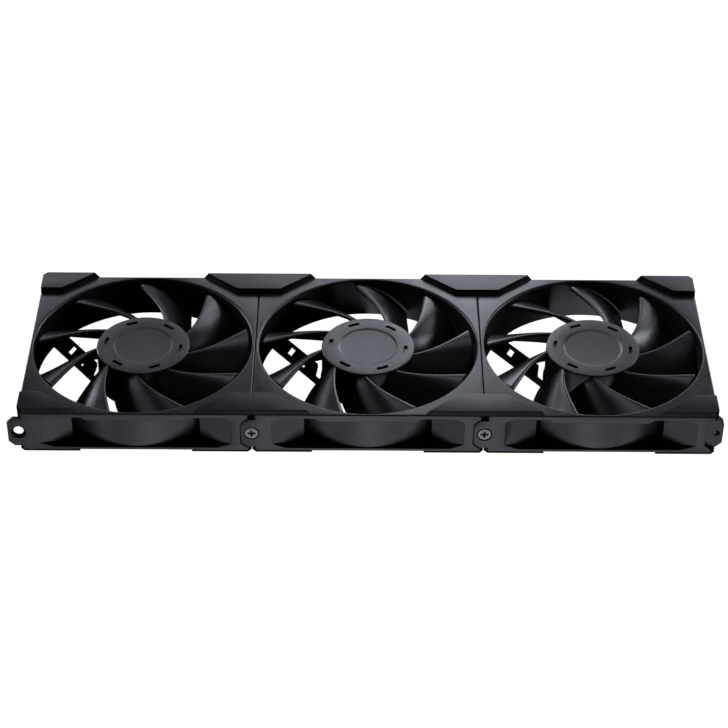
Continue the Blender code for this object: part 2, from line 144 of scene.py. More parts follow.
def stacked(rings):
    """A solid through equal rings of points, capped at both ends."""
    bm = bmesh.new()
    loops = [[bm.verts.new(p) for p in points] for points in rings]
    for first, second in zip(loops, loops[1:]):
        for i in range(len(first)):
            j = (i + 1) % len(first)
            bm.faces.new((first[i], first[j], second[j], second[i]))
    bm.faces.new(reversed(loops[0]))
    bm.faces.new(loops[-1])
    bmesh.ops.recalc_face_normals(bm, faces=bm.faces)
    return mesh_from(bm)


def turned(profile, segments):
    """A closed profile of (radius, z) points turned about Z; it may start and end on the axis."""
    bm = bmesh.new()
    angles = [2 * pi * k / segments for k in range(segments)]
    rows = []
    for r, z in profile:
        if r < NOTHING:
            rows.append([bm.verts.new((0, 0, z))])
        else:
            rows.append([bm.verts.new((r * cos(a), r * sin(a), z)) for a in angles])
    on_axis = len(rows[0]) == 1 and len(rows[-1]) == 1
    for a, b in zip(rows, rows[1:] + ([] if on_axis else rows[:1])):
        for k in range(segments):
            n = (k + 1) % segments
            if len(a) == 1:
                bm.faces.new((a[0], b[k], b[n]))
            elif len(b) == 1:
                bm.faces.new((a[k], b[0], a[n]))
            else:
                bm.faces.new((a[k], b[k], b[n], a[n]))
    bmesh.ops.recalc_face_normals(bm, faces=bm.faces)
    return mesh_from(bm)


def arc(cx, cy, radius, start, end, steps):
    """Points along an arc between two angles in degrees."""
    angles = [radians(start + (end - start) * i / steps) for i in range(steps + 1)]
    return [(cx + radius * cos(a), cy + radius * sin(a)) for a in angles]


def inset(outline, distance):
    """The closed outline moved inwards by a distance (outwards when negative)."""
    sharpest = 0.2                  # limits how far the tip of a sharp corner can move
    points = [Vector(p) for p in outline]
    area = sum(a.x * b.y - b.x * a.y for a, b in zip(points, points[1:] + points[:1]))
    turn = 1 if area > 0 else -1
    result = []
    for i, p in enumerate(points):
        before = (p - points[i - 1]).normalized()
        after = (points[(i + 1) % len(points)] - p).normalized()
        n1 = Vector((-before.y, before.x)) * turn
        n2 = Vector((-after.y, after.x)) * turn
        bisector = (n1 + n2).normalized()
        result.append(p + bisector * distance / max(sharpest, bisector.dot(n1)))
    return result


def plate(outline, low, high, rim=0.0, steps=4, foot=None, axis="Z"):
    """An outline extruded from low to high, its end edges rounded by rim (foot for the low end)."""
    foot = rim if foot is None else foot
    stations = []
    for radius, level, sign in ((foot, low, 1), (rim, high, -1)):
        angles = [radians(90) * i / steps for i in range(steps + 1)] if radius > 0 else [radians(90)]
        rows = [(radius * (1 - sin(a)), level + sign * radius * (1 - cos(a))) for a in angles]
        stations += rows if sign > 0 else rows[::-1]
    rings = []
    for back, level in stations:
        points = inset(outline, back) if back > NOTHING else [Vector(p) for p in outline]
        rings.append([(p.x, p.y, level) if axis == "Z" else (p.x, level, p.y) for p in points])
    return stacked(rings)


def cylinder(radius, low, high, segments, top_radius=None, axis="Z", at=(0, 0)):
    """A cylinder or cone from low to high along Z or Y, its axis through at in the other two."""
    top = radius if top_radius is None else top_radius
    mesh = turned([(0, high), (top, high), (radius, low), (0, low)], segments)
    if axis == "Y":
        mesh.transform(Matrix.Rotation(radians(-90), 4, "X"))
        mesh.transform(Matrix.Translation((at[0], 0, at[1])))
    else:
        mesh.transform(Matrix.Translation((at[0], at[1], 0)))
    return mesh


def rounded_corners(outline, radius, steps):
    """The closed outline with each corner replaced by a curve."""
    most = 0.45                     # share of a side that one corner may take up
    points = [Vector(p) for p in outline]
    result = []
    for i, p in enumerate(points):
        before, after = points[i - 1] - p, points[(i + 1) % len(points)] - p
        to_before, to_after = before.normalized(), after.normalized()
        half = to_before.angle(to_after) / 2
        reach = min(radius / tan(half), most * before.length, most * after.length)
        first, last = p + to_before * reach, p + to_after * reach
        for k in range(steps + 1):
            t = k / steps
            result.append(first * (1 - t) ** 2 + p * 2 * t * (1 - t) + last * t ** 2)
    return result


# ---- sizes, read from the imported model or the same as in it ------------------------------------
frame_low, frame_high = corners("frame_centre")
FLOOR_Z = cad_bounds[0][2]
PITCH = corners("shaft_right")[0].x - corners("shaft_centre")[0].x
FRAME_HALF = frame_high.y
FRAME_BOTTOM, FRAME_TOP = frame_low.z, frame_high.z
PAD_TOP = cad_bounds[1][2]
GAP = PITCH / 2 - FRAME_HALF        # half the seam between two frames
OVER = 1 * MM                       # how far a cutting shape reaches past what it cuts

BORE_R, BARREL_R = 58.0 * MM, 59.2 * MM
FLANGE_OUTLET, FLANGE_INLET = 2.9 * MM, 22.2 * MM
HOLE_OFFSET, HOLE_R = 52.5 * MM, 2.15 * MM
TAB_LOW, TAB_HIGH, TAB_CORNER, TAB_THICK = 3.4 * MM, 21.4 * MM, 3.0 * MM, 2.0 * MM
TAB_REACH, LUG_REACH, LUG_BACK = 5.5 * MM, 3.2 * MM, 7.0 * MM
SCREW_Z = (TAB_LOW + TAB_HIGH) / 2
HUB_R, HUB_TOP, HUB_BOTTOM = 24.8 * MM, 23.6 * MM, 5.0 * MM
BLADE_COUNT = 9
fan_x = [corners(f"shaft_{side}")[0].lerp(corners(f"shaft_{side}")[1], 0.5).x for side in SIDES]


# ---- frame -----------------------------------------------------------------------------------
def chamfered_square(half, chamfer):
    edge = half - chamfer
    return [(-half, -edge), (-edge, -half), (edge, -half), (half, -edge),
            (half, edge), (edge, half), (-edge, half), (-half, edge)]


def side_pocket():
    """The hollow between the flanges on the front side, outside the barrel, with a softened mouth."""
    pillar, lip, steps = 49.4 * MM, 0.35 * MM, 4
    fold_x, fold_y, deep = 33 * MM, 53.5 * MM, 47 * MM
    out = FRAME_HALF + OVER
    plan = [(-pillar - lip, -out), (pillar + lip, -out), (pillar + lip, -FRAME_HALF), (fold_x, -fold_y),
            (fold_x, -deep), (-fold_x, -deep), (-fold_x, -fold_y), (-pillar - lip, -FRAME_HALF)]
    rib_low, rib_half, rib_foot = 20.2 * MM, 24.6 * MM, 27.2 * MM
    upper_corner, lower_corner, corner_z = 44 * MM, 42 * MM, 5.5 * MM
    right = [(rib_half, rib_low), (rib_foot, FLANGE_INLET), (upper_corner, FLANGE_INLET),
             (pillar, rib_low), (pillar, corner_z), (lower_corner, FLANGE_OUTLET)]
    mouth = [(-x, z) for x, z in right] + [(x, z) for x, z in reversed(right)]
    mouth = rounded_corners(mouth, 0.8 * MM, 3)
    rings = [[(p.x, -out, p.y) for p in inset(mouth, -lip)]]
    for i in range(steps + 1):
        a = radians(90) * i / steps
        soft = inset(mouth, -lip * (1 - sin(a)))
        rings.append([(p.x, -FRAME_HALF + lip * (1 - cos(a)), p.y) for p in soft])
    rings.append([(p.x, -deep + OVER, p.y) for p in mouth])
    return combined(plate(plan, 0, FRAME_TOP + OVER), ("INTERSECT", stacked(rings)),
                    ("DIFFERENCE", cylinder(BARREL_R, -OVER, 30 * MM, BORE_SEGMENTS)))


def bore_cutter():
    """The air passage with its rounded inlet lip and its outlet flare."""
    lip, flare = 1.5 * MM, 1.0 * MM
    profile = [(0, FRAME_TOP + 2 * OVER), (BORE_R + lip, FRAME_TOP + 2 * OVER)]
    profile += arc(BORE_R + lip, FRAME_TOP - lip, -lip, 270, 360, 8)
    profile += [(BORE_R, FRAME_BOTTOM + flare), (BORE_R + flare, FRAME_BOTTOM),
                (BORE_R + flare, -OVER), (0, -OVER)]
    return turned(profile, BORE_SEGMENTS)


def cut_plate(left, right, low, high, corner):
    """An upright rectangle with its two left corners cut off."""
    return [(left, low + corner), (left, high - corner), (left + corner, high),
            (right, high), (right, low), (left + corner, low)]


def link_tab():
    """The tab at the left of the front side, which laps over the neighbour and takes the screw."""
    outline = cut_plate(-PITCH / 2 - TAB_REACH, -FRAME_HALF + 6 * MM, TAB_LOW, TAB_HIGH, TAB_CORNER)
    return plate(outline, -FRAME_HALF + 0.01 * MM, -FRAME_HALF + TAB_THICK, 0.2 * MM, 2,
                 foot=0.3 * MM, axis="Y")


def tab_recess():
    """Room at the right of the front side for the neighbour's tab, a slit wider all round."""
    slit = 0.4 * MM
    left = PITCH / 2 - TAB_REACH - slit
    outline = cut_plate(left, FRAME_HALF + 9 * MM, TAB_LOW - slit, TAB_HIGH + slit, TAB_CORNER)
    return plate(outline, -FRAME_HALF - OVER, -FRAME_HALF + TAB_THICK + GAP, axis="Y")


def screw_lug():
    """The lug at the right of the front side, which the neighbour's screw goes into."""
    outline = cut_plate(-PITCH / 2 - LUG_REACH, -FRAME_HALF + 4 * MM, TAB_LOW, TAB_HIGH, TAB_CORNER)
    mesh = plate(outline, -FRAME_HALF + 1 * MM, -FRAME_HALF + LUG_BACK, 0.3 * MM, 2, foot=0, axis="Y")
    mesh.transform(Matrix.Diagonal((-1, 1, 1, 1)))
    return finished(mesh)


def box_mesh(low, high):
    (x0, y0, z0), (x1, y1, z1) = low, high
    return plate([(x0, y0), (x1, y0), (x1, y1), (x0, y1)], z0, z1)


def lug_pocket():
    """Room behind the tab for the neighbour's lug."""
    return box_mesh((-FRAME_HALF - OVER, -FRAME_HALF + TAB_THICK, 0),
                    (-FRAME_HALF + LUG_REACH + 2 * GAP, -42 * MM, TAB_HIGH + GAP))


BASE_R, BASE_TOP, ARM_TOP = 25.5 * MM, 3.2 * MM, 3.6 * MM
ARM_OUTER_LINE, ARM_HEADING = 25.1 * MM, radians(-52)


def stator_arm(heading, width):
    """A straight arm that leaves the motor base nearly at a tangent and ends in the bore's wall."""
    far, near = -57 * MM, 4 * MM
    outer_line = -ARM_OUTER_LINE
    inner_line = outer_line + width
    arm = plate([(far, outer_line), (near, outer_line), (near, inner_line), (far, inner_line)],
                FRAME_BOTTOM, ARM_TOP, 0.3 * MM, 2, foot=0.0)
    arm.transform(Matrix.Rotation(heading, 4, "Z"))
    return combined(arm, ("INTERSECT", cylinder(BORE_R + 0.6 * MM, 0, 6 * MM, BORE_SEGMENTS)))


def cable_arm():
    """The wide arm, with its slanted window, a small slot, and a notch beside the motor base."""
    low, high = 0, 6 * MM
    centre, along, across = Vector((-41.7, 21.95)) * MM, 4.8 * MM, 7.4 * MM
    run = Vector((cos(ARM_HEADING), sin(ARM_HEADING))) * along / 2
    slant = Vector((cos(radians(65)), sin(radians(65)))) * across / 2
    window = plate([centre + run + slant, centre - run + slant,
                    centre - run - slant, centre + run - slant], low, high)
    slot = box_mesh((-35.7 * MM, 6.9 * MM, low), (-34.3 * MM, 11.8 * MM, high))
    notch = plate([(x * MM, y * MM) for x, y in
                   ((-28.3, -0.2), (-20, -10.8), (-14, 0), (-14, 20), (-25.7, 20))], low, high)
    return combined(stator_arm(ARM_HEADING, 10 * MM), ("DIFFERENCE", window),
                    ("DIFFERENCE", slot), ("DIFFERENCE", notch))


def motor_base():
    """The base disc with its rounded edge, and the bearing tube standing on it."""
    tube_bore, tube_r, tube_top, edge = 3.2 * MM, 4.5 * MM, 16 * MM, 0.4 * MM
    tube = [(tube_bore, FRAME_BOTTOM), (tube_bore, tube_top), (tube_r, tube_top), (tube_r, BASE_TOP)]
    rim = arc(BASE_R - edge, BASE_TOP - edge, edge, 90, 0, 4)
    foot = arc(BASE_R - edge, FRAME_BOTTOM + edge, edge, 0, -90, 4)
    return turned(tube + rim + foot, DISC_SEGMENTS)


def frame_detail():
    """One whole frame: body, pockets, bore, linking parts, holes, arms and motor base."""
    face = -FRAME_HALF
    outline = rounded_corners(chamfered_square(FRAME_HALF, 2.0 * MM), 1.5 * MM, 3)
    body = plate(outline, FRAME_BOTTOM, FRAME_TOP, 0.7 * MM, 5, foot=0.5 * MM)
    pocket = side_pocket()
    pockets = joined([rotated(pocket, radians(90) * turn) for turn in range(4)])
    holes = joined([cylinder(HOLE_R, 0, FRAME_TOP + OVER, HOLE_SEGMENTS, at=(x, y))
                    for x in (-HOLE_OFFSET, HOLE_OFFSET) for y in (-HOLE_OFFSET, HOLE_OFFSET)])
    shell = combined(body, ("DIFFERENCE", bore_cutter()), ("DIFFERENCE", pockets),
                     ("UNION", screw_lug()), ("DIFFERENCE", tab_recess()), ("UNION", link_tab()),
                     ("DIFFERENCE", lug_pocket()), ("DIFFERENCE", holes))
    sink_r, through_r, thread_r = 5.1 * MM, 2.6 * MM, 1.65 * MM
    countersink = cylinder(sink_r, face - OVER, face + 1.5 * MM, SCREW_SEGMENTS,
                           top_radius=through_r, axis="Y", at=(-PITCH / 2, SCREW_Z))
    through = cylinder(through_r, face, face + 3 * MM, SCREW_SEGMENTS, axis="Y",
                       at=(-PITCH / 2, SCREW_Z))
    thread = cylinder(thread_r, face + 1 * MM, face + 9 * MM, HOLE_SEGMENTS, axis="Y",
                      at=(PITCH / 2, SCREW_Z))
    drilled = combined(shell, ("DIFFERENCE", countersink), ("DIFFERENCE", through),
                       ("DIFFERENCE", thread))
    thin = [stator_arm(ARM_HEADING + radians(120) * turn, 6 * MM) for turn in (1, 2)]
    cap_recess = cylinder(20.3 * MM, 0, FRAME_BOTTOM + 0.8 * MM, DISC_SEGMENTS)
    return combined(drilled, ("UNION", motor_base()), ("UNION", cable_arm()), ("UNION", thin[0]),
                    ("UNION", thin[1]), ("DIFFERENCE", cap_recess), angle=30)


def fine_cap():
    """The underside cap: a thin disc with a soft edge and one ring groove."""
    low, high, radius = FRAME_BOTTOM, FRAME_BOTTOM + 0.6 * MM, 20.0 * MM
    top_edge, low_edge, groove = 0.2 * MM, 0.25 * MM, 0.15 * MM
    edge = [(0, high), (radius - top_edge, high), (radius, high - top_edge), (radius, low + low_edge),
            (radius - low_edge, low)]
    ring = [(17.4 * MM, low), (17.2 * MM, low + groove), (16.4 * MM, low + groove), (16.2 * MM, low)]
    return turned(edge + ring + [(0, low)], DISC_SEGMENTS)


# ---- impeller --------------------------------------------------------------------------------
LE_Z, TE_Z = 22.5 * MM, 6.0 * MM
ROOT_R, TIP_R = HUB_R - 0.9 * MM, 56.8 * MM
NOSE, TAIL = 0.08, 0.98             # parts of the chord where the round nose ends and the tail begins
LEADING_EDGE = (-11.5, 1.34, -0.0136)       # degrees about the axis at 25 mm, per mm, per square mm
TRAILING_EDGE = (-45.8, 1.75, -0.0225)
REST_TURN = (0.0, radians(0.3), radians(1.3))      # how far each impeller stands turned


def edge_angle(curve, r):
    start, slope, bend = curve
    out = (r - 25 * MM) / MM
    return radians(start + slope * out + bend * out ** 2)


def blade_point(r, chord):
    """A point of the blade's middle surface at radius r; chord goes from 0 at the leading edge to 1."""
    span = (r - ROOT_R) / (TIP_R - ROOT_R)
    leading, trailing = edge_angle(LEADING_EDGE, r), edge_angle(TRAILING_EDGE, r)
    angle = leading + (trailing - leading) * chord
    camber = 0.6 + 0.4 * span
    drop = chord + camber * (chord ** 2 - chord)
    nose_z = LE_Z - 1.1 * MM * span
    return Vector((r * cos(angle), r * sin(angle), nose_z + (TE_Z - nose_z) * drop))


def blade_thickness(r, chord):
    """Full at the round nose, thinner towards the trailing edge, thicker towards the tip."""
    at_root, added_at_tip, lost_at_tail = 1.7, 1.5, 0.68
    thick = (at_root + added_at_tip * (r - ROOT_R) / (TIP_R - ROOT_R)) * MM
    thick *= 1 - lost_at_tail * max(0.0, (chord - NOSE) / (1 - NOSE))
    if chord < NOSE:
        thick *= sqrt(1 - ((NOSE - chord) / NOSE) ** 2)
    if chord > TAIL:
        thick *= sqrt(max(0.0, 1 - ((chord - TAIL) / (1 - TAIL)) ** 2))
    return thick


def blade_mesh():
    """One blade, lofted through closed sections from inside the hub's wall to the rounded tip."""
    corner, tip_round, chord_length, thinnest = 1.0 * MM, 0.9 * MM, 33 * MM, 0.12
    nose_steps, flat_steps, tail_steps, span_steps, tip_steps = 7, 13, 3, 15, 7
    chords = [NOSE * (1 - cos(radians(90) * i / nose_steps)) for i in range(nose_steps)]
    chords += [NOSE + (TAIL - NOSE) * i / flat_steps for i in range(flat_steps + 1)]
    chords += [TAIL + (1 - TAIL) * sin(radians(90) * i / tail_steps) for i in range(1, tail_steps + 1)]
    radii = [ROOT_R + (TIP_R - corner - ROOT_R) * i / span_steps for i in range(span_steps + 1)]
    radii += [TIP_R - corner + corner * sin(radians(90) * i / tip_steps)
              for i in range(1, tip_steps + 1)]
    step = 0.01
    rings = []
    for r in radii:
        past_corner = max(0.0, (r - TIP_R + corner) / corner)
        cut = corner * (1 - sqrt(max(0.0, 1 - past_corner ** 2))) / chord_length
        past_round = max(0.0, (r - TIP_R + tip_round) / tip_round)
        fullness = max(thinnest, sqrt(max(0.0, 1 - past_round ** 2)))
        upper, lower = [], []
        for c in chords:
            at = cut + c * (1 - 2 * cut)
            along = blade_point(r, at + step) - blade_point(r, at - step)
            outward = blade_point(r + step * MM, at) - blade_point(r - step * MM, at)
            normal = along.cross(outward).normalized()
            normal *= 1 if normal.z > 0 else -1
            half = normal * blade_thickness(r, c) * fullness / 2
            upper.append(blade_point(r, at) + half)
            lower.append(blade_point(r, at) - half)
        rings.append(upper + lower[-2:0:-1])
    return stacked(rings)


def hub_slot():
    """A scooped slot in the hub's top, its walls leaning in, about the +X direction."""
    inner, outer, half = 19.1 * MM, 21.2 * MM, 9.2
    outline = arc(0, 0, outer, -half, half, 4) + arc(0, 0, inner, half, -half, 4)
    outline = rounded_corners(outline, 0.5 * MM, 2)
    lean, deep = 0.3 * MM, 1.2 * MM
    rings = [(0.0, HUB_TOP + OVER), (0.0, HUB_TOP), (lean, HUB_TOP - deep)]
    return stacked([[(p.x, p.y, z) for p in inset(outline, back)] for back, z in rings])


def hub_mesh():
    """The hub: a cup open below, with a shallow dish in its top and a boss for the shaft."""
    inner, ceiling = HUB_R - 1.3 * MM, HUB_TOP - 1.8 * MM
    boss_r, boss_low, shaft_hole = 3.6 * MM, 18.5 * MM, 1.8 * MM
    dish, rim, foot = 0.6 * MM, 0.7 * MM, 0.3 * MM
    profile = [(0, HUB_TOP - dish), (14.6 * MM, HUB_TOP - dish), (14.9 * MM, HUB_TOP - 0.93 * dish),
               (15.7 * MM, HUB_TOP - 0.1 * dish), (16.0 * MM, HUB_TOP)]
    profile += arc(HUB_R - rim, HUB_TOP - rim, rim, 90, 0, 6)
    profile += [(HUB_R, HUB_BOTTOM + foot), (HUB_R - foot, HUB_BOTTOM), (inner, HUB_BOTTOM),
                (inner, ceiling), (boss_r, ceiling), (boss_r, boss_low), (shaft_hole, boss_low),
                (shaft_hole, ceiling), (0, ceiling)]
    return turned(profile, HUB_SEGMENTS)


def impeller_detail():
    blade, slot = blade_mesh(), hub_slot()
    slot_count, first_slot, between_slots = 6, 52, 60
    blades = joined([rotated(blade, 2 * pi * i / BLADE_COUNT) for i in range(BLADE_COUNT)])
    slots = joined([rotated(slot, radians(first_slot + between_slots * i)) for i in range(slot_count)])
    return combined(hub_mesh(), ("UNION", blades), ("DIFFERENCE", slots), angle=38)


# ---- pads and screws -------------------------------------------------------------------------
SKIN = 0.02 * MM                # hairline between a pad and its frame
BASE_INNER, BASE_OUTER, BASE_DEPTH = 12.6 * MM, 31.5 * MM, 15.7 * MM
TOP_INNER, TOP_OUTER, TOP_DEPTH = 11.7 * MM, 29.3 * MM, 14.4 * MM


def corner_outline(inner, outer, depth, chamfer):
    """Plan of a pad in the corner at +X +Y of a fan; inner and outer are distances from the side."""
    edge = FRAME_HALF
    return [(edge - chamfer, edge), (edge - outer, edge), (edge - inner, edge - depth),
            (edge, edge - depth), (edge, edge - chamfer)]


def bridge_outline(inner, outer, depth):
    """Plan of a pad over a seam at X = 0, on the +Y side."""
    edge = FRAME_HALF
    return [(outer, edge), (-outer, edge), (-inner, edge - depth), (inner, edge - depth)]


def sloped_block(base, top, low, high, rim, corner):
    """A loft from a base outline to a smaller top one, with rounded corners and a rounded top edge."""
    steps = 5
    base, top = rounded_corners(base, corner, 3), rounded_corners(top, corner, 3)
    rings = [[(p.x, p.y, low) for p in base]]
    for i in range(steps + 1):
        a = radians(90) * i / steps
        rings.append([(p.x, p.y, high - rim * (1 - sin(a))) for p in inset(top, rim * (1 - cos(a)))])
    return finished(stacked(rings), 40)


def flipped(mesh, x, y):
    """A mirrored copy where x or y is -1."""
    return finished(moved(mesh, Matrix.Diagonal((x, y, 1, 1))), 40)


def outlet_pad():
    """A thin pad under a frame's corner at +X +Y, open round the screw hole."""
    chamfer, hole_r, soft = 2.0 * MM, 2.8 * MM, 0.2 * MM
    outline = corner_outline(BASE_INNER, BASE_OUTER, BASE_DEPTH, chamfer)
    body = plate(rounded_corners(outline, 0.4 * MM, 3), 0, FRAME_BOTTOM - SKIN, foot=0.25 * MM)
    hole = turned([(0, 2 * MM), (hole_r, 2 * MM), (hole_r, soft), (hole_r + soft, 0),
                   (hole_r + soft, -OVER), (0, -OVER)], SCREW_SEGMENTS)
    hole.transform(Matrix.Translation((HOLE_OFFSET, HOLE_OFFSET, 0)))
    return combined(body, ("DIFFERENCE", hole), angle=40)


def screw_detail():
    """A countersunk cross-head screw along Y, its head at -Y, with ridges round its shank."""
    front = -FRAME_HALF + 0.1 * MM
    head_r, neck_r, head_deep, shank_r = 3.5 * MM, 1.5 * MM, 2.0 * MM, 1.35 * MM
    edge, root_r, end_r, length = 0.2 * MM, shank_r - 0.25 * MM, 0.6 * MM, 8.0 * MM
    pitch, turns = 0.6 * MM, 9
    profile = [(0, 0), (head_r - edge, 0), (head_r, edge), (head_r, 0.35 * MM), (neck_r, head_deep)]
    for i in range(turns):
        start = head_deep + 0.3 * MM + pitch * i
        profile += [(root_r, start), (shank_r, start + 0.3 * MM), (root_r, start + 0.6 * MM)]
    profile += [(end_r, length), (0, length)]
    mesh = turned(profile, SCREW_SEGMENTS)
    mesh.transform(Matrix.Rotation(radians(-90), 4, "X"))
    mesh.transform(Matrix.Translation((0, front, 0)))
    slots = []
    half_slot, half_cross = 0.62 * MM, 2.05 * MM
    levels = [(0.0, -OVER), (0.0, 0.0), (0.5 * MM, 1.7 * MM)]
    for across, along in ((half_slot, half_cross), (half_cross, half_slot)):
        mouth = [(across, along), (-across, along), (-across, -along), (across, -along)]
        rings = [[(p.x, front + y, p.y) for p in inset(mouth, back)] for back, y in levels]
        slots.append(("DIFFERENCE", stacked(rings)))
    return combined(finished(mesh), *slots, angle=30)


# ---- materials -------------------------------------------------------------------------------
def feed(tree, value, socket):
    if isinstance(value, bpy.types.NodeSocket):
        tree.links.new(value, socket)
    else:
        socket.default_value = value


def add(tree, kind, inputs=(), **settings):
    """A new shader node with its settings, and its inputs fed by values or other sockets."""
    node = tree.nodes.new("ShaderNode" + kind)
    for key, value in settings.items():
        setattr(node, key, value)
    for key, value in dict(inputs).items():
        feed(tree, value, node.inputs[key])
    return node


def start_material(name, metallic, specular=0.5):
    material = bpy.data.materials.new(name)
    material.use_nodes = True
    tree = material.node_tree
    shader = tree.nodes["Principled BSDF"]
    shader.inputs["Metallic"].default_value = metallic
    shader.inputs["Specular IOR Level"].default_value = specular
    place = add(tree, "TexCoord").outputs["Object"]
    return material, tree, shader, place


def noise(tree, place, size, detail, rough=0.5):
    """Noise with features of about the given size in metres."""
    return add(tree, "TexNoise", {"Vector": place, "Scale": 1 / size, "Detail": detail,
                                  "Roughness": rough}).outputs["Fac"]


def spread(tree, value, low, high, to_low, to_high):
    """The value's range from low to high spread over another range, and held at its ends."""
    return add(tree, "MapRange", {"Value": value, "From Min": low, "From Max": high,
                                  "To Min": to_low, "To Max": to_high}).outputs["Result"]


def times(tree, a, b):
    return add(tree, "Math", {0: a, 1: b}, operation="MULTIPLY").outputs[0]


def plus(tree, a, b):
    return add(tree, "Math", {0: a, 1: b}, operation="ADD").outputs[0]


def colours(tree, factor, first, second):
    """A mix of two colours; a colour is a tuple or a socket."""
    node = add(tree, "Mix", {0: factor}, data_type="RGBA")
    feed(tree, first if isinstance(first, bpy.types.NodeSocket) else (*first, 1), node.inputs[6])
    feed(tree, second if isinstance(second, bpy.types.NodeSocket) else (*second, 1), node.inputs[7])
    return node.outputs[2]


def rounded_normal(tree, radius):
    """A normal that rounds off edges by the radius."""
    return add(tree, "Bevel", {"Radius": radius}, samples=4).outputs["Normal"]


def worn_edges(tree, place, soft, amount):
    """A mask that is 1 on sharp edges, broken up by noise."""
    flat = add(tree, "NewGeometry").outputs["Normal"]
    facing = add(tree, "VectorMath", {0: soft, 1: flat}, operation="DOT_PRODUCT").outputs["Value"]
    edge = spread(tree, facing, 0.995, 0.86, 0.0, 1.0)
    patches = spread(tree, noise(tree, place, 4 * MM, 4), 0.35, 0.65, 0.25, 1.0)
    return times(tree, times(tree, edge, patches), amount)


def bumped(tree, height, depth, soft):
    """The soft normal disturbed by a height map of the given depth."""
    return add(tree, "Bump", {"Height": height, "Strength": 1.0, "Distance": depth,
                              "Normal": soft}).outputs["Normal"]


def facing_up(tree, low, high):
    """A mask that goes from 0 to 1 as the surface turns to face upwards."""
    facing = add(tree, "NewGeometry").outputs["Normal"]
    return spread(tree, add(tree, "SeparateXYZ", {0: facing}).outputs["Z"], low, high, 0.0, 1.0)


def moulded(name, base, worn, roughness, grain, depth, wear=0.7, specular=0.5, painted_shade_side_gloss=1.0,
            sparkle=0.4, matt_with_painted_sheen_above=None):
    """Moulded plastic or rubber: fine grain, cloudy gloss, faint dust, and paler worn edges.

    painted_shade_side_gloss scales the gloss of the faces that do not look up, which paints
    shade on those sides where it is below 1; sparkle is how much the grain glints; and level
    faces above matt_with_painted_sheen_above are coarser and matt, with their gloss raised
    for a painted sheen.
    """
    material, tree, shader, place = start_material(name, 0.0, specular)
    soft = rounded_normal(tree, 0.3 * MM)
    fine = noise(tree, place, grain, 2, 0.6)
    cloud = noise(tree, place, 11 * MM, 5, 0.55)
    speck = spread(tree, noise(tree, place, 0.7 * MM, 2), 0.66, 0.74, 0.0, 1.0)
    edges = worn_edges(tree, place, soft, wear)
    darker, lighter, dust = ([c * scale for c in base] for scale in (0.82, 1.2, 2.2))
    shade = colours(tree, spread(tree, cloud, 0.3, 0.7, 0.0, 1.0), darker, lighter)
    dusty = colours(tree, times(tree, speck, 0.25), shade, dust)
    feed(tree, colours(tree, edges, dusty, worn), shader.inputs["Base Color"])
    gloss = spread(tree, cloud, 0.3, 0.7, roughness * 0.9, roughness * 1.12)
    grainy = plus(tree, gloss, spread(tree, fine, 0.3, 0.7, -0.03, 0.03))
    # faces that do not look up get less gloss: painted shade on those sides
    shine_with_painted_light = spread(tree, facing_up(tree, 0.80, 0.98), 0.0, 1.0, specular * painted_shade_side_gloss, specular)
    if matt_with_painted_sheen_above is not None:
        level = add(tree, "SeparateXYZ", {0: place}).outputs["Z"]
        high_up = spread(tree, level, matt_with_painted_sheen_above, matt_with_painted_sheen_above + 0.1 * MM, 0.0, 1.0)
        textured_top_and_painted_sheen = times(tree, facing_up(tree, 0.9, 0.99), high_up)
        grainy = plus(tree, grainy, times(tree, textured_top_and_painted_sheen, 0.14))
        # gloss raised on the level top faces: painted sheen; the added roughness and grain glint are
        # the top's texture
        shine_with_painted_light = times(tree, shine_with_painted_light, spread(tree, textured_top_and_painted_sheen, 0.0, 1.0, 1.0, 1.8))
        sparkle = plus(tree, sparkle, times(tree, textured_top_and_painted_sheen, 0.45))
    feed(tree, plus(tree, grainy, times(tree, edges, -0.06)), shader.inputs["Roughness"])
    glint = plus(tree, times(tree, spread(tree, fine, 0.34, 0.66, -1.0, 1.0), sparkle), 1.0)
    feed(tree, times(tree, shine_with_painted_light, glint), shader.inputs["Specular IOR Level"])
    feed(tree, bumped(tree, fine, depth, soft), shader.inputs["Normal"])
    return material


def metal(name, base, dark, roughness, streak=(1, 1, 1), grain=0.25 * MM, depth=0.004 * MM,
          metallic=1.0):
    """Metal with drawn or sintered grain, cloudy tarnish and brighter edges."""
    material, tree, shader, place = start_material(name, metallic)
    soft = rounded_normal(tree, 0.15 * MM)
    stretched = add(tree, "VectorMath", {0: place, 1: streak}, operation="MULTIPLY").outputs["Vector"]
    fine = noise(tree, stretched, grain, 4, 0.6)
    cloud = noise(tree, place, 3 * MM, 4)
    edges = worn_edges(tree, place, soft, 0.8)
    body = colours(tree, spread(tree, cloud, 0.3, 0.72, 0.0, 1.0), dark, base)
    bright = [min(1.0, c * 1.5) for c in base]
    feed(tree, colours(tree, edges, body, bright), shader.inputs["Base Color"])
    gloss = spread(tree, fine, 0.25, 0.75, roughness * 0.75, roughness * 1.3)
    feed(tree, gloss, shader.inputs["Roughness"])
    feed(tree, bumped(tree, fine, depth, soft), shader.inputs["Normal"])
    return material


